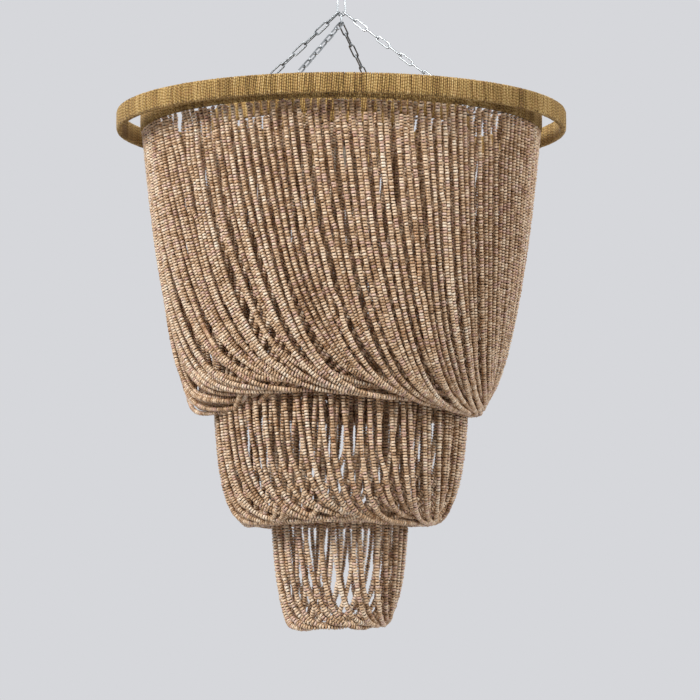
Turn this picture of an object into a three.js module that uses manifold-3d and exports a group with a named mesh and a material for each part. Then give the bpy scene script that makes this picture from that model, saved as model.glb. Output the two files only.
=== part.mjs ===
// Beaded chandelier: three tiers of bead strands hang from twine-wrapped hoops, and four chains carry
// the frame from one hanging link. Millimetres, +Z up. The origin is the seat of the S-hook, the point
// that rests on whatever holds the chandelier up. +Y points away from the viewer of the front.
import * as THREE from 'three';
import { mergeVertices } from 'three/addons/utils/BufferGeometryUtils.js';
import Module from 'manifold-3d';

const wasm = await Module();
wasm.setup();

// Clearances shared by all pieces
const seatGap = 0.3; // between pieces that rest on each other
const weldSink = 0.25; // how far joined links sink into each other

// S-hook
const hookWire = 3;
const hookBow = 7; // centre line of both bows
const hookReach = 40; // upper seat to lower seat
const hookTipTurn = THREE.MathUtils.degToRad(12); // how far each bow runs on past level at its open tip

// Hanging link, pear-shaped: the foot is wider than the crown
const hangWire = 2;
const hangCrownBow = 3.2;
const hangFootBow = 4.1;
const hangLength = 26; // crown to foot, centre line

// Gather link, which takes the two chains that start lower
const gatherWire = 2;
const gatherBow = 3.5;
const gatherLength = 12.5;

// Chains: equal oval links
const chainWire = 1.7;
const chainBow = 2.35;
const chainLinkLength = 17.4; // centre line
const linksPerChain = 11;
const outerSeatTurn = THREE.MathUtils.degToRad(66); // where the outer chains sit on the hanging link's foot
const gatherSeatTurn = THREE.MathUtils.degToRad(60); // where the other two sit on the gather link's foot

// Frame of flat-bar hoops and round spokes, all at one height
const hoopBarThickness = 3;
const hoopBarHeight = 16.5;
const twineThickness = 1.6;
const outerHoopRadius = 224.5; // each hoop's radius is that of its wrapped outer face
const tierOneHoopRadius = 200.5;
const tierTwoHoopRadius = 130;
const tierThreeHoopRadius = 70;
const spokeDiameter = 2.4;
const spokeTurn = THREE.MathUtils.degToRad(67);
const eyeWire = 2;
const eyeBow = 3.2;
const eyeStandOff = 9.06; // from the second hoop's face out to the outer chains' eyes
const hubRadius = 28;
const hubThickness = 3;

// Bead strands
const beadDiameter = 4.5;
const strandLayers = 2; // descending halves of the loops cross over ascending ones
const fluteDepth = 3.4; // between two outer strands, down to the inner ones
const tierOneDrop = 294; // from the hoops' mid-height to the hem
const tierOneHemEase = 2; // from the second hoop's face out to the middle of the curtain at its hem
const tierOneHemLift = 6;
const tierOneHemSway = 8;
const tierOneHemRipple = 5;
const tierTwoDrop = 404;
const tierTwoHemRadius = 85;
const tierThreeDrop = 502;
const tierThreeHemRadius = 40;
const hemSwayTurn = THREE.MathUtils.degToRad(-125); // where the first tier's hem is drawn up most
const hemRippleTurn = THREE.MathUtils.degToRad(-112);

// Lampholder for a large screw cap, clamped in the hub ring
const holderRadius = 19.5;
const holderWall = 2.2;
const holderBelow = 22; // below the hub's mid-height
const holderAbove = 12;
const flangeRadius = 23.5;
const flangeHeight = 2.5;
const shadeRingRadius = 25.5;
const shadeRingHeight = 8;
const capWall = 2;
const capShoulder = 8; // straight part of the cap
const capHeight = 25;
const capTopRadius = 9;
const gripRadius = 4.7;
const gripHeadRadius = 6.2;
const gripHeadHeight = 7;
const gripTail = 3; // how far the grip reaches below the cap's top wall
const gripBoreRadius = 3.2; // inlet for the flex
const insertThickness = 9;
const insertRecess = 3; // seat of the contact in the insert
const shellWall = 0.6;
const shellHeight = 20;

// Bulb
const bulbCapRadius = 13.3;
const bulbCapHeight = 25;
const bulbCapRim = 1;
const contactRadius = 4;
const contactHeight = 3.2;
const insulatorHeight = 3;
const threadPitch = 3.6;
const threadDepth = 0.5;
const threadTurns = 4;
const glassRadius = 22.5;
const glassNeckRadius = 12;
const glassNeckLength = 8;
const glassWall = 1;
const glassSeatDepth = 6;
const capRunning = 0.6; // play between the bulb's cap and the screw shell

// Facets
const linkSides = 5;
const linkBowSteps = 4;
const wireSides = 8;
const wireBowSteps = 6;
const hookSteps = 24;
const spokeSides = 8;
const eyeSides = 6;
const eyeSteps = 12;
const hoopSteps = [44, 36, 28, 22];
const latheSteps = 20;
const globeRows = 6;
const flutes = [40, 27, 15];

// Materials
const zinc = new THREE.MeshStandardMaterial({ color: 0xc6cacd, roughness: 0.35, metalness: 0.95 });
const darkSteel = new THREE.MeshStandardMaterial({ color: 0x4b4743, roughness: 0.55, metalness: 0.8 });
const twine = new THREE.MeshStandardMaterial({ color: 0xa98a4c, roughness: 0.95, metalness: 0 });
const beads = new THREE.MeshStandardMaterial({ color: 0xb48d6c, roughness: 0.6, metalness: 0 });
const blackPlastic = new THREE.MeshStandardMaterial({ color: 0x1d1c1b, roughness: 0.4, metalness: 0 });
const ceramic = new THREE.MeshStandardMaterial({ color: 0xeeebe2, roughness: 0.35, metalness: 0 });
const brass = new THREE.MeshStandardMaterial({ color: 0xc6a25a, roughness: 0.35, metalness: 0.95 });
const nickel = new THREE.MeshStandardMaterial({ color: 0xc9c6bd, roughness: 0.3, metalness: 0.95 });
const opalGlass = new THREE.MeshStandardMaterial({ color: 0xf3efe6, roughness: 0.2, metalness: 0 });

const up = new THREE.Vector3(0, 0, 1);
const down = new THREE.Vector3(0, 0, -1);
const alongX = new THREE.Vector3(1, 0, 0);
const alongY = new THREE.Vector3(0, 1, 0);

// Small helpers

function vec(x, y, z) {
  return new THREE.Vector3(x, y, z);
}

function moved(point, direction, distance) {
  return point.clone().addScaledVector(direction, distance);
}

// Only position is kept, shared corners are merged, and the faces are turned to point out
function closed(geometry) {
  geometry.deleteAttribute('normal');
  geometry.deleteAttribute('uv');
  const merged = mergeVertices(geometry);
  const place = merged.attributes.position;
  const order = merged.index.array;
  const [a, b, c] = [vec(0, 0, 0), vec(0, 0, 0), vec(0, 0, 0)];
  let volume = 0;
  for (let i = 0; i < order.length; i += 3) {
    a.fromBufferAttribute(place, order[i]);
    b.fromBufferAttribute(place, order[i + 1]);
    c.fromBufferAttribute(place, order[i + 2]);
    volume += a.dot(b.cross(c));
  }
  if (volume < 0) {
    for (let i = 0; i < order.length; i += 3) {
      [order[i], order[i + 1]] = [order[i + 1], order[i]];
    }
  }
  return merged;
}

function toSolid(geometry) {
  const mesh = closed(geometry);
  return new wasm.Manifold(new wasm.Mesh({
    numProp: 3,
    vertProperties: new Float32Array(mesh.attributes.position.array),
    triVerts: new Uint32Array(mesh.index.array),
  }));
}

function fromSolid(solid) {
  const mesh = solid.getMesh();
  const geometry = new THREE.BufferGeometry();
  geometry.setAttribute('position', new THREE.BufferAttribute(mesh.vertProperties, mesh.numProp));
  geometry.setIndex(new THREE.BufferAttribute(mesh.triVerts, 1));
  return geometry;
}

// Closed skin over a ring of equal closed sections
function skinOver(sections) {
  const rings = sections.length;
  const sides = sections[0].length;
  const order = [];
  for (let i = 0; i < rings; i += 1) {
    const next = (i + 1) % rings;
    for (let j = 0; j < sides; j += 1) {
      const side = (j + 1) % sides;
      const [a, b] = [i * sides + j, next * sides + j];
      const [c, d] = [next * sides + side, i * sides + side];
      order.push(a, b, c, a, c, d);
    }
  }
  const geometry = new THREE.BufferGeometry().setFromPoints(sections.flat());
  geometry.setIndex(order);
  return geometry;
}

// Round wire bent along a closed flat loop; one corner of its section points to the inside
function wireLoop(centres, normal, wire, sides) {
  const sections = centres.map((centre, i) => {
    const before = centres[(i + centres.length - 1) % centres.length];
    const after = centres[(i + 1) % centres.length];
    const inward = after.clone().sub(before).cross(normal).normalize();
    const section = [];
    for (let k = 0; k < sides; k += 1) {
      const turn = (2 * Math.PI * k) / sides;
      const point = moved(centre, inward, Math.cos(turn) * (wire / 2));
      section.push(moved(point, normal, Math.sin(turn) * (wire / 2)));
    }
    return section;
  });
  return skinOver(sections);
}

// Oval or pear-shaped link: it starts at the apex of its first bow and runs towards the second
function ovalLink({ apex, along, across, firstBow, lastBow, length, wire, sides, bowSteps }) {
  const centres = [];
  for (let k = 0; k <= bowSteps; k += 1) {
    const turn = (Math.PI * k) / bowSteps;
    const point = moved(apex, across, firstBow * Math.cos(turn));
    centres.push(moved(point, along, firstBow * (1 - Math.sin(turn))));
  }
  for (let k = 0; k <= bowSteps; k += 1) {
    const turn = (Math.PI * k) / bowSteps;
    const point = moved(apex, across, -lastBow * Math.cos(turn));
    centres.push(moved(point, along, length - lastBow * (1 - Math.sin(turn))));
  }
  return wireLoop(centres, across.clone().cross(along).normalize(), wire, sides);
}

// Turned piece about the Z axis from an outline of [radius, height] pairs
function turned(outline, steps = latheSteps) {
  const points = outline.map(([radius, height]) => new THREE.Vector2(radius, height));
  return new THREE.LatheGeometry(points, steps).rotateX(Math.PI / 2);
}

function ringOutline(inner, outer, low, high) {
  return [[inner, low], [outer, low], [outer, high], [inner, high], [inner, low]];
}

const group = new THREE.Group();

function place(name, geometry, material) {
  const mesh = new THREE.Mesh(closed(geometry), material);
  mesh.name = name;
  group.add(mesh);
}

// S-hook in the YZ plane: upper bow, sloping shank, lower bow

class HookLine extends THREE.Curve {
  constructor() {
    super();
    this.upper = vec(0, 0, hookWire / 2 - hookBow);
    this.lower = vec(0, 0, hookBow - hookWire / 2 - hookReach);
    this.slope = Math.asin((2 * hookBow) / this.upper.distanceTo(this.lower));
    this.sweep = Math.PI + this.slope + hookTipTurn;
    this.arc = this.sweep * hookBow;
    this.shank = this.upper.distanceTo(this.lower) * Math.cos(this.slope);
    this.total = 2 * this.arc + this.shank;
  }

  // The lower half is the upper one turned half round the middle of the shank
  upperHalf(run, target) {
    if (run < this.arc) {
      const turn = run / hookBow - hookTipTurn;
      return target.set(0, Math.cos(turn) * hookBow, this.upper.z + Math.sin(turn) * hookBow);
    }
    const foot = Math.PI + this.slope;
    const rest = run - this.arc;
    target.set(0, Math.cos(foot) * hookBow, this.upper.z + Math.sin(foot) * hookBow);
    target.y += Math.sin(this.slope) * rest;
    target.z -= Math.cos(this.slope) * rest;
    return target;
  }

  getPoint(share, target = vec(0, 0, 0)) {
    const run = share * this.total;
    if (run <= this.total / 2) {
      return this.upperHalf(run, target);
    }
    this.upperHalf(this.total - run, target);
    return target.set(0, -target.y, this.upper.z + this.lower.z - target.z);
  }
}

function roundShape(diameter, sides) {
  const shape = new THREE.Shape();
  for (let k = 0; k < sides; k += 1) {
    const turn = (2 * Math.PI * k) / sides;
    const [x, y] = [Math.cos(turn) * (diameter / 2), Math.sin(turn) * (diameter / 2)];
    if (k === 0) {
      shape.moveTo(x, y);
    } else {
      shape.lineTo(x, y);
    }
  }
  return shape;
}

const hookGeometry = new THREE.ExtrudeGeometry(roundShape(hookWire, wireSides), {
  steps: hookSteps,
  extrudePath: new HookLine(),
});
place('s_hook', hookGeometry, zinc);

// Hanging link in the XZ plane, seated in the hook's lower bow

const hangCrown = vec(0, 0, -hookReach + seatGap + hangWire / 2);
const hangFoot = moved(hangCrown, down, hangLength);
place('hanging_link', ovalLink({
  apex: hangCrown,
  along: down,
  across: alongX,
  firstBow: hangCrownBow,
  lastBow: hangFootBow,
  length: hangLength,
  wire: hangWire,
  sides: wireSides,
  bowSteps: wireBowSteps,
}), zinc);

// Gather link in the YZ plane, seated in the hanging link's foot

const gatherCrown = moved(hangFoot, up, hangWire / 2 + seatGap + gatherWire / 2);
const gatherFoot = moved(gatherCrown, down, gatherLength);
place('gather_link', ovalLink({
  apex: gatherCrown,
  along: down,
  across: alongY,
  firstBow: gatherBow,
  lastBow: gatherBow,
  length: gatherLength,
  wire: gatherWire,
  sides: wireSides,
  bowSteps: wireBowSteps,
}), zinc);

// Chains. Each starts on a bow above, at the seat that its pull gives it, and ends in an eye that stands
// on a spoke where the chain comes taut.

const linkPitchFree = chainLinkLength - chainWire - seatGap;
const linkPitchJoined = chainLinkLength - chainWire + weldSink;
const pairsPerChain = (linksPerChain - 1) / 2;
const chainSpan = chainLinkLength + pairsPerChain * (linkPitchFree + linkPitchJoined);
const chainReach = chainSpan + eyeBow - 2 * chainBow; // the end bows run round the wires that carry them

// A place on a bow above: the middle of its wire there, and the way the wire runs
function seatOnBow(foot, bow, side, turn) {
  const centre = moved(foot, up, bow);
  const outward = side.clone().multiplyScalar(Math.sin(turn)).addScaledVector(down, Math.cos(turn));
  const tangent = side.clone().multiplyScalar(-Math.cos(turn)).addScaledVector(down, Math.sin(turn));
  return { middle: moved(centre, outward, bow), tangent };
}

const hangSeat = (side) => seatOnBow(hangFoot, hangFootBow, side, outerSeatTurn);
const gatherSeat = (side) => seatOnBow(gatherFoot, gatherBow, side, gatherSeatTurn);
const chains = [
  { name: 'chain_far_right', quarter: 0, seat: gatherSeat(alongY) },
  { name: 'chain_far_left', quarter: 1, seat: hangSeat(alongX.clone().negate()) },
  { name: 'chain_near_left', quarter: 2, seat: gatherSeat(alongY.clone().negate()) },
  { name: 'chain_near_right', quarter: 3, seat: hangSeat(alongX) },
];
chains.forEach((chain) => {
  chain.azimuth = spokeTurn + chain.quarter * (Math.PI / 2);
  chain.radial = vec(Math.cos(chain.azimuth), Math.sin(chain.azimuth), 0);
  chain.seatOffset = chain.seat.middle.dot(chain.radial); // how far along the spoke the seat stands
  chain.seatAside = chain.seat.middle.dot(chain.radial.clone().cross(up)); // and how far beside it
});

// Taut chain: from how far out or down its eye is, how far down or out it comes
function otherReach(chain, oneReach) {
  return Math.sqrt(chainReach ** 2 - oneReach ** 2 - chain.seatAside ** 2);
}

// The outer chains settle how far down the eyes, the spokes and the hoops hang
const outerChain = chains[1];
const outerEyeRadius = tierTwoHoopRadius + eyeStandOff;
const eyeFall = otherReach(outerChain, outerEyeRadius - outerChain.seatOffset);
const eyeLevel = outerChain.seat.middle.z - eyeFall;

chains.forEach((chain) => {
  chain.eyeRadius = chain.seatOffset + otherReach(chain, chain.seat.middle.z - eyeLevel);
});

function chainRoute({ radial, seat, eyeRadius }) {
  const eye = vec(radial.x * eyeRadius, radial.y * eyeRadius, eyeLevel);
  const along = eye.clone().sub(seat.middle).normalize();
  // First link square to the bow that carries it, last link square to its eye
  const firstNormal = seat.tangent.clone().addScaledVector(along, -seat.tangent.dot(along)).normalize();
  const eyePlane = radial.clone().cross(up).normalize();
  const lastNormal = eyePlane.clone().cross(along).normalize();
  let twist = Math.atan2(firstNormal.clone().cross(lastNormal).dot(along), firstNormal.dot(lastNormal));
  if (Math.abs(twist) > Math.PI / 2) {
    twist -= Math.sign(twist) * Math.PI;
  }
  return { along, apex: moved(seat.middle, along, -chainBow), firstNormal, twist };
}

function chainLink(route, number) {
  const pairs = Math.floor(number / 2);
  const start = pairs * (linkPitchFree + linkPitchJoined) + (number % 2) * linkPitchFree;
  const turn = number * (Math.PI / 2) + (route.twist * number) / (linksPerChain - 1);
  const normal = route.firstNormal.clone().applyAxisAngle(route.along, turn);
  return ovalLink({
    apex: moved(route.apex, route.along, start),
    along: route.along,
    across: normal.clone().cross(route.along).normalize(),
    firstBow: chainBow,
    lastBow: chainBow,
    length: chainLinkLength,
    wire: chainWire,
    sides: linkSides,
    bowSteps: linkBowSteps,
  });
}

chains.forEach((chain) => {
  const route = chainRoute(chain);
  // The end link is a node by itself; after it, every second link is joined to the one before
  place(`${chain.name}_1`, chainLink(route, 0), zinc);
  for (let pair = 1; pair <= pairsPerChain; pair += 1) {
    const upper = toSolid(chainLink(route, 2 * pair - 1));
    const lower = toSolid(chainLink(route, 2 * pair));
    place(`${chain.name}_${pair + 1}`, fromSolid(upper.add(lower)), zinc);
  }
});

// Frame heights and hoop sections

const spokeTop = (spokeDiameter / 2) * Math.cos(Math.PI / spokeSides); // its upper flat, above its axis
const hoopLevel = eyeLevel - eyeBow - eyeWire / 2 - seatGap - spokeTop;
const wrapBuild = twineThickness + seatGap; // from the bar's face to the wrap's outer face
const hoopThickness = hoopBarThickness + 2 * wrapBuild;
const hoopHeight = hoopBarHeight + 2 * wrapBuild;

// Hoops: flat bar inside a sleeve of twine, with holes where the spokes pass

const hoops = [
  { name: 'outer_hoop', radius: outerHoopRadius, outermost: true, steps: hoopSteps[0] },
  { name: 'tier_1_hoop', radius: tierOneHoopRadius, outermost: false, steps: hoopSteps[1] },
  { name: 'tier_2_hoop', radius: tierTwoHoopRadius, outermost: false, steps: hoopSteps[2] },
  { name: 'tier_3_hoop', radius: tierThreeHoopRadius, outermost: false, steps: hoopSteps[3] },
];
const spokeHoleRadius = spokeDiameter / 2 + seatGap;
const barInnerRadius = outerHoopRadius - wrapBuild - hoopBarThickness;
const spokeEnd = barInnerRadius * Math.cos(Math.PI / hoopSteps[0]) - seatGap; // short of the bar's flats

// Round bar along each spoke's direction, from one radius to another
function radialBar(azimuth, radius, from, to) {
  const bar = new THREE.CylinderGeometry(radius, radius, to - from, spokeSides);
  bar.rotateY(Math.PI / spokeSides); // a flat on top, for the eye
  bar.rotateZ(-Math.PI / 2).translate((from + to) / 2, 0, hoopLevel);
  return bar.rotateZ(azimuth);
}

function spokeHoles(solid, from, to) {
  return chains.reduce(
    (rest, chain) => rest.subtract(toSolid(radialBar(chain.azimuth, spokeHoleRadius, from, to))),
    solid,
  );
}

function barSection(radius, gap) {
  const inner = radius - wrapBuild - hoopBarThickness - gap;
  const outer = radius - wrapBuild + gap;
  const half = hoopBarHeight / 2 + gap;
  return ringOutline(inner, outer, hoopLevel - half, hoopLevel + half);
}

// The twine rounds off at the bar's edges, over its own thickness
function wrapSection(radius) {
  const [inner, half] = [radius - hoopThickness, hoopHeight / 2];
  const [low, high] = [hoopLevel - half, hoopLevel + half];
  const round = twineThickness;
  return [
    [inner, low + round],
    [inner + round, low],
    [radius - round, low],
    [radius, low + round],
    [radius, high - round],
    [radius - round, high],
    [inner + round, high],
    [inner, high - round],
    [inner, low + round],
  ];
}

hoops.forEach((hoop) => {
  const bar = toSolid(turned(barSection(hoop.radius, 0), hoop.steps));
  const sleeve = toSolid(turned(wrapSection(hoop.radius), hoop.steps));
  const hollow = toSolid(turned(barSection(hoop.radius, seatGap), hoop.steps));
  const holesFrom = hoop.radius - hoopThickness - twineThickness;
  const holesTo = hoop.outermost ? barInnerRadius : hoop.radius + twineThickness;
  const wrap = spokeHoles(sleeve.subtract(hollow), holesFrom, holesTo);
  place(`${hoop.name}_bar`, fromSolid(hoop.outermost ? bar : spokeHoles(bar, holesFrom, holesTo)), darkSteel);
  place(`${hoop.name}_wrap`, fromSolid(wrap), twine);
});

// Spokes, the eyes that stand on them, and the hub ring that they meet

chains.forEach((chain) => {
  const [spokeName, eyeName] = ['spoke', 'eye'].map((piece) => chain.name.replace('chain', piece));
  place(spokeName, radialBar(chain.azimuth, spokeDiameter / 2, hubRadius + seatGap, spokeEnd), darkSteel);
  const eye = new THREE.TorusGeometry(eyeBow, eyeWire / 2, eyeSides, eyeSteps);
  eye.rotateX(Math.PI / 2).rotateZ(chain.azimuth);
  eye.translate(chain.radial.x * chain.eyeRadius, chain.radial.y * chain.eyeRadius, eyeLevel);
  place(eyeName, eye, darkSteel);
});

const hubBoreRadius = holderRadius + seatGap;
const hubTop = hoopLevel + hubThickness / 2;
place('hub_ring', turned(ringOutline(hubBoreRadius, hubRadius, hubTop - hubThickness, hubTop)), darkSteel);

// Tiers of bead strands. Every strand is a loop tied to its hoop at both ends, so it hangs as a chord:
// its foot comes no nearer to the axis than the hem, and the curtain narrows and leans as it falls.

const rowShares = [0, 0.35, 0.66, 0.87, 0.965, 1];
const curtainWall = beadDiameter * strandLayers;

const tiers = [
  {
    name: 'tier_1_strands',
    hoopRadius: tierOneHoopRadius,
    hemRadius: tierTwoHoopRadius + tierOneHemEase,
    drop: tierOneDrop,
    drawShare: 0.28,
    fallPower: 3,
    footPower: 4,
    flutes: flutes[0],
    lift: tierOneHemLift,
    sway: tierOneHemSway,
    ripple: tierOneHemRipple,
  },
  {
    name: 'tier_2_strands',
    hoopRadius: tierTwoHoopRadius,
    hemRadius: tierTwoHemRadius,
    drop: tierTwoDrop,
    drawShare: 0,
    fallPower: 4,
    footPower: 5,
    flutes: flutes[1],
    lift: 0,
    sway: 0,
    ripple: 0,
  },
  {
    name: 'tier_3_strands',
    hoopRadius: tierThreeHoopRadius,
    hemRadius: tierThreeHemRadius,
    drop: tierThreeDrop,
    drawShare: 0,
    fallPower: 7,
    footPower: 3,
    flutes: flutes[2],
    lift: 0,
    sway: 0,
    ripple: 0,
  },
];

function curtain(tier) {
  const rimRadius = tier.hoopRadius - curtainWall / 2;
  const halfChord = Math.sqrt(rimRadius ** 2 - tier.hemRadius ** 2);
  const sections = [];
  for (let i = 0; i < 2 * tier.flutes; i += 1) {
    const turn = (Math.PI * i) / tier.flutes;
    const ridge = (i % 2 === 0 ? 0 : -1) * fluteDepth;
    const sway = tier.sway * Math.cos(turn - hemSwayTurn);
    const ripple = tier.ripple * Math.cos(2 * (turn - hemRippleTurn));
    const drop = tier.drop - tier.lift - sway - ripple;
    const startShare = (hoopHeight / 2 + seatGap) / drop;
    const rows = rowShares.map((rowShare) => {
      const fallShare = startShare + (1 - startShare) * rowShare;
      const drawn = 1 - tier.drawShare * fallShare;
      const reach = halfChord * drawn * (1 - fallShare ** tier.fallPower) ** (1 / tier.footPower);
      const azimuth = turn - Math.atan2(reach, tier.hemRadius);
      return { azimuth, radius: Math.hypot(tier.hemRadius, reach), z: hoopLevel - drop * fallShare };
    });
    const face = (row, offset) => {
      const radius = row.radius + offset;
      return vec(Math.cos(row.azimuth) * radius, Math.sin(row.azimuth) * radius, row.z);
    };
    const outside = rows.map((row) => face(row, curtainWall / 2 + ridge));
    const inside = rows.map((row) => face(row, -curtainWall / 2)).reverse();
    sections.push([...outside, ...inside]);
  }
  return skinOver(sections);
}

tiers.forEach((tier) => place(tier.name, curtain(tier), beads));

// Lampholder, from the hub up and down

const skirtTop = hoopLevel + holderAbove;
const skirtFoot = hoopLevel - holderBelow;
const flangeFoot = hubTop + seatGap;
const skirtBore = holderRadius - holderWall;
place('lampholder_skirt', turned([
  [skirtBore, skirtFoot],
  [holderRadius, skirtFoot],
  [holderRadius, flangeFoot],
  [flangeRadius, flangeFoot],
  [flangeRadius, flangeFoot + flangeHeight],
  [holderRadius, flangeFoot + flangeHeight],
  [holderRadius, skirtTop],
  [skirtBore, skirtTop],
  [skirtBore, skirtFoot],
]), blackPlastic);

const shadeRingTop = hubTop - hubThickness - seatGap;
place('shade_ring', turned(
  ringOutline(holderRadius + seatGap, shadeRingRadius, shadeRingTop - shadeRingHeight, shadeRingTop),
), blackPlastic);

const capFoot = flangeFoot + flangeHeight + seatGap;
const capBore = holderRadius + seatGap;
const capOuter = capBore + capWall;
const capTop = capFoot + capHeight;
const gripHole = gripRadius + seatGap;
place('lampholder_cap', turned([
  [capBore, capFoot],
  [capOuter, capFoot],
  [capOuter, capFoot + capShoulder],
  [capTopRadius + capWall, capTop - capWall],
  [capTopRadius, capTop],
  [gripHole, capTop],
  [gripHole, capTop - capWall],
  [capTopRadius, capTop - capWall],
  [capBore, capFoot + capShoulder],
  [capBore, capFoot],
]), blackPlastic);

const gripHeadFoot = capTop + seatGap;
place('cord_grip', turned([
  [gripBoreRadius, capTop - capWall - gripTail],
  [gripRadius, capTop - capWall - gripTail],
  [gripRadius, gripHeadFoot],
  [gripHeadRadius, gripHeadFoot],
  [gripHeadRadius, gripHeadFoot + gripHeadHeight],
  [gripBoreRadius, gripHeadFoot + gripHeadHeight],
  [gripBoreRadius, capTop - capWall - gripTail],
]), blackPlastic);

const insertRadius = skirtBore - seatGap;
const insertFoot = skirtTop - insertThickness;
place('lampholder_insert', turned([
  [0, insertFoot + insertRecess],
  [contactRadius, insertFoot + insertRecess],
  [contactRadius, insertFoot],
  [insertRadius, insertFoot],
  [insertRadius, skirtTop],
  [0, skirtTop],
]), ceramic);

const shellBore = bulbCapRadius + capRunning;
const shellTop = insertFoot - seatGap;
place('screw_shell', turned(
  ringOutline(shellBore, shellBore + shellWall, shellTop - shellHeight, shellTop),
), brass);

// Bulb: screw cap and glass globe

const contactTop = insertFoot + insertRecess - seatGap;
const bulbCapFoot = contactTop - bulbCapHeight;
const contactTip = contactRadius - seatGap;
const threadTop = contactTop - contactHeight - insulatorHeight;
const threadOutline = [];
for (let k = 0; k < threadTurns; k += 1) {
  const crest = threadTop - (k + 1 / 2) * threadPitch;
  threadOutline.push([bulbCapRadius - threadDepth, crest + threadPitch / 2]);
  threadOutline.push([bulbCapRadius, crest]);
}
const neckSeat = glassNeckRadius + seatGap;
const neckCeiling = bulbCapFoot + glassSeatDepth;
place('bulb_cap', turned([
  [0, contactTop],
  [contactTip, contactTop],
  [contactTip, contactTop - contactHeight],
  ...threadOutline,
  [bulbCapRadius - threadDepth, threadTop - threadTurns * threadPitch],
  [neckSeat + bulbCapRim, bulbCapFoot],
  [neckSeat, bulbCapFoot],
  [neckSeat, neckCeiling],
  [0, neckCeiling],
]), nickel);

const neckTop = neckCeiling - seatGap;
const neckFoot = neckTop - glassNeckLength;
const globeLevel = neckFoot - Math.sqrt(glassRadius ** 2 - glassNeckRadius ** 2);

// From the neck round the globe to the pole below
function globeArc(radius, neckRadius) {
  const start = Math.asin(neckRadius / radius);
  const arc = [];
  for (let k = 0; k <= globeRows; k += 1) {
    const turn = start + ((Math.PI - start) * k) / globeRows;
    arc.push([k === globeRows ? 0 : Math.sin(turn) * radius, globeLevel + Math.cos(turn) * radius]);
  }
  return arc;
}

place('bulb_glass', turned([
  ...globeArc(glassRadius, glassNeckRadius).reverse(),
  [glassNeckRadius, neckTop],
  [glassNeckRadius - glassWall, neckTop],
  ...globeArc(glassRadius - glassWall, glassNeckRadius - glassWall),
]), opalGlass);

export default group;
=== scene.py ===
import math
import random
import bmesh
import bpy
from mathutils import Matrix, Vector


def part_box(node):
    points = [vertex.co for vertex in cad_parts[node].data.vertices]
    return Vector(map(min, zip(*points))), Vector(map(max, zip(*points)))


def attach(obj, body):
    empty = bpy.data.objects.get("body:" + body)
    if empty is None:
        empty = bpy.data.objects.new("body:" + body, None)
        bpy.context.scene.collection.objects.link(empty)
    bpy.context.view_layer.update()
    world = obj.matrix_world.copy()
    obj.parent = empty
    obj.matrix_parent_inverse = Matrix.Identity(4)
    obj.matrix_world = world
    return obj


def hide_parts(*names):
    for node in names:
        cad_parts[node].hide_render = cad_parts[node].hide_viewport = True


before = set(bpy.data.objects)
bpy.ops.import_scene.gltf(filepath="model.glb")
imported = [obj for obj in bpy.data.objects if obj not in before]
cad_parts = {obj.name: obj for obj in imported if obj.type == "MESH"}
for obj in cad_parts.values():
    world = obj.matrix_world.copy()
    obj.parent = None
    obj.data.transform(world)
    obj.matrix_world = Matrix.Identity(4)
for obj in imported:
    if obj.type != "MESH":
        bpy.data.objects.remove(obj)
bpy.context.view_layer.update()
print("frame loaded:", len(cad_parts), "nodes")

# Beaded chandelier. Metres, +Z up, origin at the seat of the S-hook. The viewer of the front is on -Y.

mm = 0.001
tolerance = 0.001 * mm
scene = bpy.context.scene
scene.view_settings.view_transform = "Standard"


# Small helpers

def addNode(tree, kind, inputs=None, **settings):
    made = tree.nodes.new(kind)
    for name, value in settings.items():
        setattr(made, name, value)
    for name, value in (inputs or {}).items():
        if isinstance(value, bpy.types.NodeSocket):
            tree.links.new(value, made.inputs[name])
        else:
            made.inputs[name].default_value = value
    return made


def mathNode(tree, operation, *values, clamp=False):
    made = addNode(tree, "ShaderNodeMath", dict(enumerate(values)), operation=operation)
    made.use_clamp = clamp
    return made.outputs[0]


def seen(red, green, blue):  # a colour as seen, 0 to 255, made linear
    def linear(part):
        return part / 12.92 if part <= 0.04045 else ((part + 0.055) / 1.055) ** 2.4
    return (linear(red / 255), linear(green / 255), linear(blue / 255), 1)


def addObject(name, data):
    made = bpy.data.objects.new(name, data)
    scene.collection.objects.link(made)
    return made


def finishPiece(piece, finish, body, *replaced):
    piece.data.materials.clear()
    piece.data.materials.append(finishes[finish])
    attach(piece, body)
    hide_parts(*replaced)
    return piece


def plainMesh(guide, name):  # the evaluated guide as a mesh of its own; the guide goes
    evaluated = guide.evaluated_get(bpy.context.evaluated_depsgraph_get())
    mesh = bpy.data.meshes.new_from_object(evaluated)
    old = guide.data
    bpy.data.objects.remove(guide)
    if isinstance(old, bpy.types.Curve):
        bpy.data.curves.remove(old)
    mesh.name = name
    return addObject(name, mesh)


def setInput(modifier, name, value):
    for item in modifier.node_group.interface.items_tree:
        if item.item_type == "SOCKET" and item.in_out == "INPUT" and item.name == name:
            modifier[item.identifier] = value


def geometryTree(name, sizes):  # one input for each size, named as in its dictionary, and one for the finish
    tree = bpy.data.node_groups.new(name, "GeometryNodeTree")
    tree.interface.new_socket("Geometry", in_out="INPUT", socket_type="NodeSocketGeometry")
    for label, value in sizes.items():
        kind = "NodeSocketInt" if isinstance(value, int) else "NodeSocketFloat"
        tree.interface.new_socket(label, in_out="INPUT", socket_type=kind).default_value = value
    tree.interface.new_socket("finish", in_out="INPUT", socket_type="NodeSocketMaterial")
    tree.interface.new_socket("Geometry", in_out="OUTPUT", socket_type="NodeSocketGeometry")
    return tree, addNode(tree, "NodeGroupInput").outputs


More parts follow.
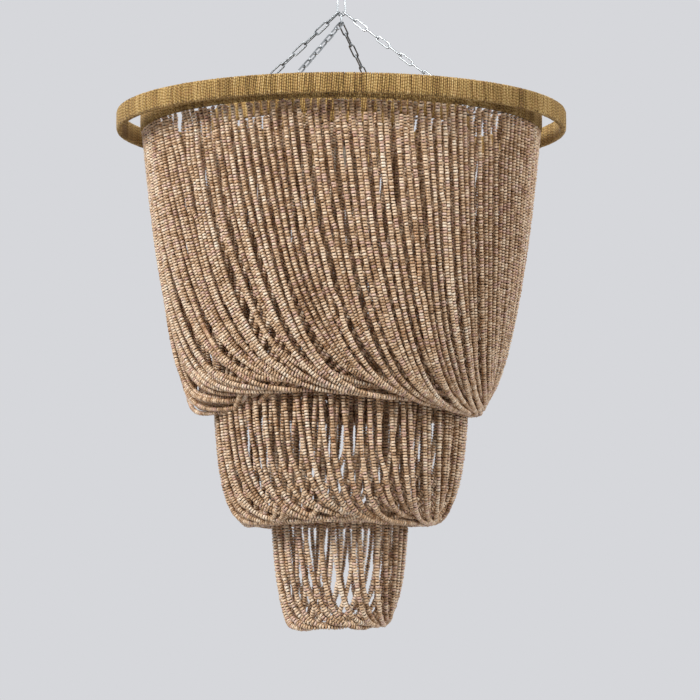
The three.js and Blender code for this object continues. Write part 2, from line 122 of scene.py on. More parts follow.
def endTree(tree, geometry, finish):
    real = addNode(tree, "GeometryNodeRealizeInstances", {0: geometry})
    soft = addNode(tree, "GeometryNodeSetShadeSmooth", {0: real.outputs[0]})
    done = addNode(tree, "GeometryNodeSetMaterial", {"Geometry": soft.outputs[0], "Material": finish})
    addNode(tree, "NodeGroupOutput", {"Geometry": done.outputs[0]})
    return tree


def storeValue(tree, geometry, name, value):
    made = addNode(tree, "GeometryNodeStoreNamedAttribute", {
        "Geometry": geometry, "Name": name, "Value": value}, data_type="FLOAT", domain="POINT")
    return made.outputs["Geometry"]


def namedValue(tree, name, kind="FLOAT"):
    made = addNode(tree, "GeometryNodeInputNamedAttribute", {"Name": name}, data_type=kind)
    return made.outputs["Attribute"]


def randomValue(tree, low, high, seed):
    made = addNode(tree, "FunctionNodeRandomValue", {2: low, 3: high, "Seed": seed}, data_type="FLOAT")
    return made.outputs[1]


def lineNoise(tree, place, **settings):  # noise along one line, around a half
    made = addNode(tree, "ShaderNodeTexNoise", {"W": place, **settings}, noise_dimensions="1D")
    return made.outputs[0]


def guideMesh(runs, values=None):  # runs of points joined by edges, with values per point
    points, edges = [], []
    for run in runs:
        first = len(points)
        points += run
        edges += [(first + i, first + i + 1) for i in range(len(run) - 1)]
    mesh = bpy.data.meshes.new("guide")
    mesh.from_pydata(points, edges, [])
    for label, (kind, rows) in (values or {}).items():
        attribute = mesh.attributes.new(label, kind, "POINT")
        flat = rows if kind == "FLOAT" else [part for row in rows for part in row]
        attribute.data.foreach_set("value" if kind == "FLOAT" else "vector", flat)
    return addObject("guide", mesh)


def growPiece(name, guide, tree, sizes, finish, body, *replaced):
    modifier = guide.modifiers.new("grow", "NODES")
    modifier.node_group = tree
    for label, value in {**sizes, "finish": finishes[finish]}.items():
        setInput(modifier, label, value)
    guide.data.update()
    return finishPiece(plainMesh(guide, name), finish, body, *replaced)


# Shader groups

def shaderGroup(name, inputs, outputs):
    group = bpy.data.node_groups.new(name, "ShaderNodeTree")
    for label, (kind, default) in inputs.items():
        socket = group.interface.new_socket(label, in_out="INPUT", socket_type="NodeSocket" + kind)
        socket.default_value = default
    for label, kind in outputs.items():
        group.interface.new_socket(label, in_out="OUTPUT", socket_type="NodeSocket" + kind)
    return group, addNode(group, "NodeGroupInput").outputs, addNode(group, "NodeGroupOutput").inputs


# Grain: coarse cloud, fine speckle and both as one height, on Object coordinates
grainGroup, given, result = shaderGroup(
    "grain",
    {"Scale": ("Float", 200.0), "Stretch": ("Vector", (1, 1, 1)), "Sharpness": ("Float", 0.5)},
    {"Cloud": "Float", "Speckle": "Float", "Height": "Float"},
)
place = addNode(grainGroup, "ShaderNodeTexCoord").outputs["Object"]
stretched = addNode(
    grainGroup, "ShaderNodeVectorMath", {0: place, 1: given["Stretch"]}, operation="MULTIPLY").outputs[0]
cloudScale = mathNode(grainGroup, "MULTIPLY", given["Scale"], 0.12)
cloud = addNode(grainGroup, "ShaderNodeTexNoise", {"Vector": place, "Scale": cloudScale, "Detail": 3.0})
fine = addNode(grainGroup, "ShaderNodeTexNoise", {
    "Vector": stretched, "Scale": given["Scale"], "Detail": 4.0, "Roughness": given["Sharpness"]})
height = mathNode(grainGroup, "MULTIPLY_ADD", cloud.outputs[0], 0.35, fine.outputs[0])
grainGroup.links.new(cloud.outputs[0], result["Cloud"])
grainGroup.links.new(fine.outputs[0], result["Speckle"])
grainGroup.links.new(height, result["Height"])

# Dust: more on what faces up, broken up by noise
dustGroup, given, result = shaderGroup(
    "dust", {"Amount": ("Float", 0.3), "Scale": ("Float", 90.0)}, {"Mask": "Float"})
place = addNode(dustGroup, "ShaderNodeTexCoord").outputs["Object"]
facing = addNode(dustGroup, "ShaderNodeSeparateXYZ", {
    "Vector": addNode(dustGroup, "ShaderNodeNewGeometry").outputs["Normal"]}).outputs["Z"]
patches = addNode(dustGroup, "ShaderNodeTexNoise", {"Vector": place, "Scale": given["Scale"], "Detail": 3.0})
upward = mathNode(dustGroup, "MULTIPLY_ADD", facing, 0.5, 0.45, clamp=True)
patchy = mathNode(dustGroup, "MULTIPLY", upward, patches.outputs[0])
dustGroup.links.new(mathNode(dustGroup, "MULTIPLY", patchy, given["Amount"], clamp=True), result["Mask"])


def colourSteps(tree, value, steps):  # steps: [(place, colour), ...]
    made = addNode(tree, "ShaderNodeValToRGB", {"Fac": value})
    ramp = made.color_ramp
    while len(ramp.elements) < len(steps):
        ramp.elements.new(0.5)
    for element, (where, colour) in zip(ramp.elements, steps):
        element.position = where
        element.color = colour
    return made.outputs["Color"]


def mixColour(tree, share, first, second):
    return addNode(tree, "ShaderNodeMix", {0: share, 6: first, 7: second}, data_type="RGBA").outputs[2]


def surface(name, settings, slotColour):
    material = bpy.data.materials.new(name)
    material.use_nodes = True
    material.diffuse_color = slotColour
    tree = material.node_tree
    tree.nodes.clear()
    shader = addNode(tree, "ShaderNodeBsdfPrincipled", settings)
    addNode(tree, "ShaderNodeOutputMaterial", {"Surface": shader.outputs[0]})
    return material, tree, shader


def grainNode(tree, scale, stretch=(1, 1, 1), sharpness=0.5):
    return addNode(tree, "ShaderNodeGroup", {
        "Scale": scale, "Stretch": stretch, "Sharpness": sharpness}, node_tree=grainGroup).outputs


def dustNode(tree, amount):
    return addNode(tree, "ShaderNodeGroup", {"Amount": amount}, node_tree=dustGroup).outputs["Mask"]


def connect(tree, shader, colour=None, roughness=None, heightMap=None, depth=0.1 * mm, strength=1.0):
    if colour is not None:
        tree.links.new(colour, shader.inputs["Base Color"])
    if roughness is not None:
        tree.links.new(roughness, shader.inputs["Roughness"])
    if heightMap is not None:
        bump = addNode(tree, "ShaderNodeBump", {"Height": heightMap, "Distance": depth, "Strength": strength})
        tree.links.new(bump.outputs[0], shader.inputs["Normal"])


def attributeValue(tree, name):
    return addNode(tree, "ShaderNodeAttribute", attribute_name=name, attribute_type="GEOMETRY").outputs["Fac"]


# Materials

beadLook = {
    "tones": [  # dark to pale, as the photo's lit beads
        (0.0, seen(112, 76, 44)),
        (0.25, seen(174, 136, 98)),
        (0.5, seen(221, 186, 149)),
        (0.75, seen(243, 217, 187)),
        (1.0, seen(254, 240, 220)),
    ],
    "pink": seen(204, 160, 156),
    "orange": seen(206, 140, 84),
    # the dark where neighbouring beads meet, near each bead's poles: painted shade
    "hole": seen(34, 14, 3),
    # scale, stretch and sharpness
    "grain": (900.0, (1, 1, 0.35), 0.6),
    "patches": (75.0, (1, 1, 0.6), 0.7),
    # gain and shift
    "orangePatches": (-6.0, 2.6), "paintedGapShade": (4.6, -2.25), "roughness": (0.3, 0.2),
    "bump": (0.12 * mm, 0.6),
    # how much of the tone each bead, each strand, the patches and the grain give
    "beadShare": 0.5, "strandShare": 0.26, "patchShare": 0.7, "grainShare": 0.5, "toneShift": -0.45,
    "pinkBeads": 0.18, "pinkShare": 0.45, "orangeShare": 0.4,
}


def makeBeads():
    material, tree, shader = surface(
        "beads", {"Roughness": 0.4, "Specular IOR Level": 0.6}, seen(190, 146, 110))
    tone = attributeValue(tree, "tone")
    strandTone = attributeValue(tree, "strandTone")
    rim = attributeValue(tree, "rim")
    grain = grainNode(tree, *beadLook["grain"])
    patches = grainNode(tree, *beadLook["patches"])
    shade = beadLook["toneShift"]
    for value, share in ((tone, "beadShare"), (strandTone, "strandShare"),
                         (patches["Speckle"], "patchShare"), (grain["Speckle"], "grainShare")):
        shade = mathNode(tree, "MULTIPLY_ADD", value, beadLook[share], shade)
    base = colourSteps(tree, shade, beadLook["tones"])
    lot = mathNode(tree, "FRACT", mathNode(tree, "MULTIPLY", tone, 7.3))  # a second draw from the same tone
    pinkish = mathNode(tree, "GREATER_THAN", lot, 1 - beadLook["pinkBeads"])
    orangish = mathNode(tree, "MULTIPLY_ADD", patches["Speckle"], *beadLook["orangePatches"], clamp=True)
    pinkPart = mathNode(tree, "MULTIPLY", pinkish, beadLook["pinkShare"])
    orangePart = mathNode(tree, "MULTIPLY", orangish, beadLook["orangeShare"])
    pinked = mixColour(tree, pinkPart, base, beadLook["pink"])
    tinted = mixColour(tree, orangePart, pinked, beadLook["orange"])
    # painted shade between beads: the colour darkens from the crown towards each bead's poles, where it meets
    # the next bead
    paintedGapShade = mathNode(tree, "MULTIPLY_ADD", rim, *beadLook["paintedGapShade"], clamp=True)
    colour = mixColour(tree, paintedGapShade, tinted, beadLook["hole"])
    roughness = mathNode(tree, "MULTIPLY_ADD", grain["Speckle"], *beadLook["roughness"])
    connect(tree, shader, colour, roughness, grain["Height"], *beadLook["bump"])
    return material


twineLook = {
    "tones": [
        (0.0, seen(70, 48, 20)),
        (0.3, seen(136, 106, 56)),
        (0.6, seen(190, 158, 98)),
        (1.0, seen(236, 212, 162)),
    ],
    "russet": seen(176, 128, 84),
    "grain": (1500.0, (1, 1, 0.3), 0.65),  # scale, stretch and sharpness
    "russetPatches": (3.0, -1.3), "roughness": (0.2, 0.75),  # gain and shift
    "bump": (0.25 * mm, 0.8),
    "fibreShare": 0.5, "plyGrooveShadeShare": 0.4, "toneShift": -0.54, "russetShare": 0.35,
}


def makeTwine():
    material, tree, shader = surface(
        "twine", {"Roughness": 0.85, "Specular IOR Level": 0.25, "Sheen Weight": 0.15}, seen(170, 140, 90))
    tone = attributeValue(tree, "tone")
    ply = attributeValue(tree, "ply")
    stripe = mathNode(tree, "ABSOLUTE", mathNode(tree, "SINE", ply))  # the yarn's two plies
    grain = grainNode(tree, *twineLook["grain"])
    fibred = mathNode(tree, "MULTIPLY_ADD", grain["Speckle"], twineLook["fibreShare"], twineLook["toneShift"])
    # painted shade: the colour darkens in the grooves between the two plies
    striped = mathNode(tree, "MULTIPLY_ADD", stripe, twineLook["plyGrooveShadeShare"], fibred)
    shaded = mathNode(tree, "ADD", tone, striped)
    golden = colourSteps(tree, shaded, twineLook["tones"])
    reddish = mathNode(tree, "MULTIPLY_ADD", grain["Cloud"], *twineLook["russetPatches"], clamp=True)
    russetPart = mathNode(tree, "MULTIPLY", reddish, twineLook["russetShare"])
    colour = mixColour(tree, russetPart, golden, twineLook["russet"])
    heightMap = mathNode(tree, "ADD", stripe, grain["Speckle"])
    roughness = mathNode(tree, "MULTIPLY_ADD", grain["Speckle"], *twineLook["roughness"])
    connect(tree, shader, colour, roughness, heightMap, *twineLook["bump"])
    return material


# Metals, plastic, ceramic and glass: two tones in clouds (gain, shift), fine roughness (gain, shift) and
# dust on top (amount, colour); grain is scale and sharpness, and plain is the colour without its nodes
metalLook = {"cloud": (2.4, -0.8), "dust": (0.25, seen(170, 162, 148))}
plainLooks = {
    "zinc": {
        **metalLook, "shader": {"Metallic": 1.0, "Roughness": 0.28}, "plain": seen(190, 195, 198),
        "tones": (seen(190, 195, 198), seen(120, 126, 130)), "grain": (200.0, 0.6), "roughness": (0.35, 0.18),
        "bump": ("Height", 0.05 * mm, 0.08)},
    "brass": {
        **metalLook, "shader": {"Metallic": 1.0, "Roughness": 0.28}, "plain": seen(222, 186, 112),
        "tones": (seen(222, 186, 112), seen(160, 124, 62)), "grain": (500.0, 0.6), "roughness": (0.35, 0.18),
        "bump": ("Height", 0.05 * mm, 0.3)},
    "nickel": {
        **metalLook, "shader": {"Metallic": 1.0, "Roughness": 0.2}, "plain": seen(214, 210, 200),
        "tones": (seen(214, 210, 200), seen(168, 163, 152)), "grain": (600.0, 0.6), "roughness": (0.35, 0.1),
        "bump": ("Height", 0.05 * mm, 0.3)},
    "frameSteel": {
        "shader": {"Metallic": 0.7, "Roughness": 0.5}, "plain": seen(80, 74, 70),
        "tones": (seen(78, 74, 71), seen(112, 78, 54)), "cloud": (3.0, -1.45), "grain": (420.0, 0.65),
        "roughness": (0.35, 0.32), "dust": (0.4, seen(150, 142, 130)), "bump": ("Height", 0.08 * mm, 0.6)},
    "blackPlastic": {
        "shader": {"Roughness": 0.35, "Specular IOR Level": 0.5}, "plain": seen(32, 31, 30),
        "tones": (seen(26, 25, 25), seen(44, 42, 40)), "cloud": (1.0, 0.0), "grain": (1300.0, 0.5),
        "roughness": (0.3, 0.26), "dust": (0.35, seen(128, 122, 112)), "bump": ("Speckle", 0.05 * mm, 0.5)},
    "ceramic": {
        "shader": {"Roughness": 0.2, "Coat Weight": 0.4, "Coat Roughness": 0.1}, "plain": seen(236, 232, 222),
        "tones": (seen(240, 236, 226), seen(220, 214, 200)), "cloud": (1.0, 0.0), "grain": (260.0, 0.5),
        "roughness": (0.25, 0.15), "dust": (0.3, seen(180, 170, 155)), "bump": ("Height", 0.05 * mm, 0.3)},
    "opalGlass": {
        "shader": {"Roughness": 0.15, "Coat Weight": 0.6, "Coat Roughness": 0.05},
        "plain": seen(244, 240, 230), "tones": (seen(246, 243, 235), seen(232, 227, 214)),
        "cloud": (1.0, 0.0), "grain": (120.0, 0.4),
        "roughness": (0.2, 0.08), "dust": (0.35, seen(196, 188, 172)), "bump": ("Cloud", 0.03 * mm, 0.2)},
}


def makePlain(name):
    look = plainLooks[name]
    material, tree, shader = surface(name, look["shader"], look["plain"])
    grain = grainNode(tree, look["grain"][0], sharpness=look["grain"][1])
    clouded = mathNode(tree, "MULTIPLY_ADD", grain["Cloud"], *look["cloud"], clamp=True)
    colour = mixColour(tree, clouded, *look["tones"])
    dusty = mixColour(tree, dustNode(tree, look["dust"][0]), colour, look["dust"][1])
    roughness = mathNode(tree, "MULTIPLY_ADD", grain["Speckle"], *look["roughness"])
    heightMap, depth, strength = look["bump"]
    connect(tree, shader, dusty, roughness, grain[heightMap], depth, strength)
    return material


finishes = {"beads": makeBeads(), "twine": makeTwine()}
for name in plainLooks:
    finishes[name] = makePlain(name)
print("materials:", len(finishes))

# Bead strands. Every strand is a loop tied to its hoop at two points a good way apart, so it hangs as a
# chord: seen from above, each half runs straight from its tie to the hem's ring, and on tier 1 it then
# follows that ring a little way (hemRun, in degrees) to its foot.

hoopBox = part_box("outer_hoop_wrap")
hoopLevel = (hoopBox[0].z + hoopBox[1].z) / 2
hoopHeight = hoopBox[1].z - hoopBox[0].z

beadSizes = {
    "radius": 2.3 * mm,
    "pitch": 2.8 * mm,
    "halfThickness": 1.7 * mm,
    "sides": 6,
    "sizeSpread": 0.1,
    "tilt": 0.16,
    "seed": 11,
}
# where along its half chord (from 0 at the foot to 1 at the tie) a strand does what; leastSpread is a share
# of the hem's spread and tieSpread one of the step between ties
strandShares = {
    "crossing": 0.1, "crossingBand": 0.12, "layer": 0.4, "tuck": 0.3, "sink": 0.8,
    "leastSpread": 0.35, "tieSpread": 0.25,
}


def hoopRadius(node):
    low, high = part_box(node)
    return max(high.x, high.y, -low.x, -low.y)


tiers = [
    {
        "name": "strandsTier1", "node": "tier_1_strands", "hoop": "tier_1_hoop_wrap", "parts": 6,
        "strands": 148, "hem": 141 * mm, "hemRun": 11, "tuck": 12 * mm, "sink": 13 * mm, "below": 2.3 * mm,
        "lift": 10 * mm, "sway": 7 * mm, "swayTurn": -110,
        # where the hem hangs lower: azimuth, half width, depth, how far out
        "dips": [(-153, 13, 18, -8), (-58, 18, 6, 0), (-14, 24, 19, 7)],
        "draw": 0.26, "fallPower": 3.0, "footPower": 3.35, "hemSpread": 6 * mm, "sideShift": -2 * mm,
        "slacks": [0, 3, 7, 10, 13], "spans": [-1, 0, 0, 1], "wander": 1.0 * mm, "drift": 1.2 * mm, "seed": 3,
        # where strands part: azimuth in degrees, depth below the hoop, half width, half height, push
        "partings": [(-141, 26, 4.0, 16, 5.0), (-138.5, 95, 0.8, 34, 2.6), (-39.5, 24, 3.2, 15, 4.0),
                     (-100, 128, 0.8, 12, 1.6), (-96, 128, 0.8, 12, 1.6), (-92, 126, 0.8, 12, 1.6),
                     (-91, 204, 0.8, 10, 2.4), (-64, 178, 0.8, 14, 2.0), (-59, 95, 0.7, 12, 1.8)],
    },
    {
        "name": "strandsTier2", "node": "tier_2_strands", "hoop": "tier_2_hoop_wrap", "parts": 3,
        "strands": 68, "hem": 85 * mm, "hemRun": 0, "tuck": 0, "sink": 0, "below": 3 * mm,
        "lift": 2 * mm, "sway": 1.5 * mm, "swayTurn": -60, "dips": [(-24, 32, 9, 6), (-152, 22, 4, 4)],
        "draw": 0.03, "fallPower": 6.2, "footPower": 4.3, "hemSpread": 6 * mm, "sideShift": 0,
        "slacks": [0, 3, 6, 9], "spans": [0], "wander": 1.1 * mm, "drift": 1.4 * mm, "seed": 5,
        "partings": [(-90, 330, 1.8, 28, 2.4), (-70, 340, 1.4, 24, 2.0), (-112, 335, 1.4, 24, 2.0)],
    },
    {
        "name": "strandsTier3", "node": "tier_3_strands", "hoop": "tier_3_hoop_wrap", "parts": 2,
        "strands": 30, "hem": 43 * mm, "hemRun": 0, "tuck": 0, "sink": 0, "below": 0,
        "lift": 1 * mm, "sway": 2 * mm, "swayTurn": 35, "dips": [],
        "draw": 0.0, "fallPower": 8.592, "footPower": 2.6, "hemSpread": 4 * mm, "sideShift": -2 * mm,
        "slacks": [0, 3, 6], "spans": [0], "wander": 1.0 * mm, "drift": 1.6 * mm, "seed": 8,
        "partings": [(-112, 400, 5.0, 36, 3.0), (-84, 395, 4.0, 34, 2.6), (-60, 400, 4.0, 30, 2.2)],
    },
]


def chordShare(tier, fall):  # how far along its half chord a strand is, from 1 at the hoop to 0 at its foot
    return (1 - tier["draw"] * fall) * (1 - fall ** tier["fallPower"]) ** (1 / tier["footPower"])


def halfLoop(tier, start):  # (share along the chord, share of the fall), from the hoop to the foot
    turnIn, fallSteps, footSteps = 0.9, 18, 14
    rows = []
    for step in range(fallSteps):
        fall = start + (turnIn - start) * step / fallSteps
        rows.append((chordShare(tier, fall), fall))
    reach = (1 - turnIn ** tier["fallPower"]) ** (1 / tier["footPower"])
    for step in range(footSteps + 1):
        inner = reach * (1 - step / footSteps)
        fall = (1 - inner ** tier["footPower"]) ** (1 / tier["fallPower"])
        rows.append(((1 - tier["draw"] * fall) * inner, fall))
    return rows


def waves(chance, count, length):  # a smooth random curve along a height
    parts = []
    for _ in range(count):
        parts.append((chance.uniform(0.6, 1.6), chance.uniform(0, 2 * math.pi), chance.uniform(0.4, 1)))
    total = sum(weight for _, _, weight in parts)
    return lambda height: sum(
        weight * math.sin(2 * math.pi * pace * height / length + phase)
        for pace, phase, weight in parts) / total


def driftField(chance):  # how neighbouring strands bunch together, over azimuth and depth
    parts = [(turns, chance.uniform(-18, 18), chance.uniform(0, 2 * math.pi)) for turns in (9, 14, 23)]
    return lambda azimuth, depth: sum(
        math.sin(turns * azimuth + rise * depth + phase) for turns, rise, phase in parts) / len(parts)


waveLength = 170 * mm
startBelow = 1.5 * mm  # from the hoop's lower edge to a strand's first point


def strandRun(tier, ends, drift, chance):  # ends: the azimuths of its two ties
    rim = hoopRadius(tier["hoop"]) - 2 * beadSizes["radius"]
    middle = (ends[0] + ends[1]) / 2
    run = math.radians(tier["hemRun"])
    straightTurn = (ends[1] - ends[0]) / 2 - run
    hem, straight = rim * math.cos(straightTurn), rim * math.sin(straightTurn)
    half = hem * run + straight
    lift = tier["lift"] + tier["sway"] * math.cos(middle - math.radians(tier["swayTurn"]))
    tuck = tier["tuck"]
    for centre, width, depth, out in tier["dips"]:
        offCentre = (math.degrees(middle) - centre + 180) % 360 - 180
        near = math.exp(-(offCentre / width) ** 2)
        lift -= depth * mm * near
        tuck -= out * mm * near
    slack = chance.choice(tier["slacks"]) * mm + chance.uniform(-1, 1) * mm
    drop = tier["drop"] - max(0, lift) - slack
    start = (hoopHeight / 2 + startBelow) / drop
    rows = halfLoop(tier, start)
    spread = chance.uniform(strandShares["leastSpread"], 1) * tier["hemSpread"]
    widest = strandShares["crossing"]
    crossing = chance.uniform(-widest, widest)  # where the strand goes over from the outside to the inside
    sideways = [waves(chance, 3, waveLength), waves(chance, 3, waveLength)]
    loop = [(-share, fall, 0) for share, fall in rows]
    loop += [(share, fall, 1) for share, fall in reversed(rows[:-1])]
    places = []
    for share, fall, side in loop:
        nearFoot = {name: math.exp(-(share / strandShares[name]) ** 2) for name in ("layer", "tuck", "sink")}
        layer = beadSizes["radius"] + (spread - beadSizes["radius"]) * nearFoot["layer"]
        inside = math.tanh((share - crossing) / strandShares["crossingBand"])
        offset = -layer * inside - tuck * nearFoot["tuck"] - tier["sink"] * max(0, inside) * nearFoot["sink"]
        away = half * abs(share) - hem * run  # along the straight part, less than 0 on the hem
        turn = run + math.atan2(away, hem) if away > 0 else half * abs(share) / hem
        radius = math.hypot(hem, max(0, away)) + offset
        azimuth = middle + math.copysign(turn, share)
        hang = math.sin(math.pi * min(1, max(0, fall * 1.1))) ** 0.5  # still at the hoop and at the hem
        aside = tier["wander"] * sideways[side](drop * fall)
        aside += tier["drift"] * drift[side](azimuth, drop * fall)
        azimuth += hang * aside / radius
        for centre, depth, width, height, push in tier["partings"]:
            offCentre = (math.degrees(azimuth) - centre + 180) % 360 - 180
            near = math.exp(-(offCentre / (2 * width)) ** 2 - ((drop * fall / mm - depth) / height) ** 2)
            azimuth += math.copysign(push * mm * near / radius, offCentre)
        across = radius * math.cos(azimuth) + tier["sideShift"] * fall ** 2
        places.append((across, radius * math.sin(azimuth), hoopLevel - drop * fall))
    return places


def makeStrandTree():
    tree, given = geometryTree("beadStrands", beadSizes)
    curve = addNode(tree, "GeometryNodeMeshToCurve", {"Mesh": given["Geometry"]}).outputs[0]
    smooth = addNode(tree, "GeometryNodeCurveSplineType", {"Curve": curve}, spline_type="CATMULL_ROM")
    points = addNode(tree, "GeometryNodeCurveToPoints", {
        "Curve": smooth.outputs[0], "Length": given["pitch"]}, mode="LENGTH").outputs
    toned = storeValue(tree, points["Points"], "tone", randomValue(tree, 0.0, 1.0, given["seed"]))
    # one bead: its crown is two rings, and its poles lie in the next beads' holes
    ball = addNode(tree, "GeometryNodeMeshUVSphere", {"Segments": given["sides"], "Rings": 3, "Radius": 1.0})
    place = addNode(tree, "GeometryNodeInputPosition").outputs[0]
    height = addNode(tree, "ShaderNodeSeparateXYZ", {"Vector": place}).outputs["Z"]
    # rim: 0 at the crown's middle, 1 at the poles; the bead material paints the shade between beads from it
    rimmed = storeValue(tree, ball.outputs["Mesh"], "rim", mathNode(tree, "ABSOLUTE", height))
    ringWidth = mathNode(tree, "DIVIDE", given["radius"], math.sin(math.radians(60)))  # as the rings lie
    size = addNode(tree, "ShaderNodeCombineXYZ", {
        "X": ringWidth, "Y": ringWidth, "Z": given["halfThickness"]})
    bead = addNode(tree, "GeometryNodeTransform", {"Geometry": rimmed, "Scale": size.outputs[0]})

    def chanceOf(extra, low, high):  # each draw has a seed of its own
        return randomValue(tree, low, high, mathNode(tree, "ADD", given["seed"], extra))

    leans = [mathNode(tree, "MULTIPLY", chanceOf(extra, -1.0, 1.0), given["tilt"]) for extra in (1.0, 2.0)]
    spin = chanceOf(3.0, 0.0, 2 * math.pi)
    euler = addNode(tree, "ShaderNodeCombineXYZ", {"X": leans[0], "Y": leans[1], "Z": spin})
    turn = addNode(tree, "FunctionNodeRotateRotation", {
        "Rotation": points["Rotation"],
        "Rotate By": addNode(tree, "FunctionNodeEulerToRotation", {0: euler.outputs[0]}).outputs[0],
    }, rotation_space="LOCAL")
    scale = mathNode(tree, "MULTIPLY_ADD", chanceOf(4.0, -1.0, 1.0), given["sizeSpread"], 1.0)
    strung = addNode(tree, "GeometryNodeInstanceOnPoints", {
        "Points": toned, "Instance": bead.outputs[0], "Rotation": turn.outputs[0], "Scale": scale})
    return endTree(tree, strung.outputs[0], given["finish"])


strandTree = makeStrandTree()
for tier in tiers:
    tier["drop"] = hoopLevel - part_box(tier["node"])[0].z - tier["below"]
    chance = random.Random(tier["seed"])
    count = tier["strands"]
    step = 2 * math.pi / count
    loose = strandShares["tieSpread"]
    ties = [[step * (number + chance.uniform(-loose, loose)) for number in range(count)] for _ in range(2)]
    halfTurn = math.acos(tier["hem"] / (hoopRadius(tier["hoop"]) - 2 * beadSizes["radius"]))
    halfTurn += math.radians(tier["hemRun"])
    apart = round(2 * halfTurn / step)  # ties from one end of a strand to its other end
    drift = [driftField(chance), driftField(chance)]
    runs, tones = [], []
    for number, tie in enumerate(ties[0]):
        other = number + apart + chance.choice(tier["spans"])
        far = ties[1][other % count] + 2 * math.pi * (other // count)
        runs.append(strandRun(tier, (tie, far), drift, chance))
        tones.append(chance.random())
    share = -(-count // tier["parts"])
    total = 0
    for part in range(tier["parts"]):
        chosen = slice(part * share, (part + 1) * share)
        toneRows = [tone for run, tone in zip(runs[chosen], tones[chosen]) for _ in run]
        guide = guideMesh(runs[chosen], {"strandTone": ("FLOAT", toneRows)})
        sizes = {**beadSizes, "seed": beadSizes["seed"] + part}
        piece = growPiece(
            tier["name"] + "_" + str(part + 1), guide, strandTree, sizes, "beads", "chandelier", tier["node"])
        total += len(piece.data.polygons)
    print(tier["name"] + ":", count, "strands,", total, "faces")

# Twine wound round the hoops

wrapSizes = {
    "thickness": 6.8 * mm,  # of the wrapped band, from the twine's inner face to its outer face
    "pitch": 2.14 * mm,
}
yarnSizes = {
    "yarn": 1.08 * mm,  # radius
    "pointsPerTurn": 12,
    "squareness": 0.36,
    "slant": 0.22,  # how far patches of turns lean round the hoop for their height
    "unevenness": 0.75 * mm,
    "plyPitch": 5.6 * mm,
    "lump": 1.4,  # how much the yarn's thickness changes along it
    "knot": 1.5,  # how much thicker a knot is
}
yarnLook = {
    # steps of the noise from turn to turn, or from metre to metre for the lumps
    "unevenPace": 0.9, "slantPace": 0.06, "patchPace": 0.045, "lumpPace": 140.0,
    "slantMiddle": 0.35, "thinnest": 0.28, "plyPhase": 16.0,
    "turnShare": 0.3, "patchShare": 0.7, "toneShift": -0.02,  # of the tone
    "knotTurns": 0.16, "knotHeight": 0.8,  # how many turns have a knot, and how near the top it lies
}
hoops = ["outer_hoop", "tier_1_hoop", "tier_2_hoop", "tier_3_hoop"]
winding = {  # what the tree takes; each hoop sets the first six
    "radius": 0.0, "level": 0.0, "halfWidth": 0.0, "halfHeight": 0.0, "turns": 1, "seed": 0.0, **yarnSizes}


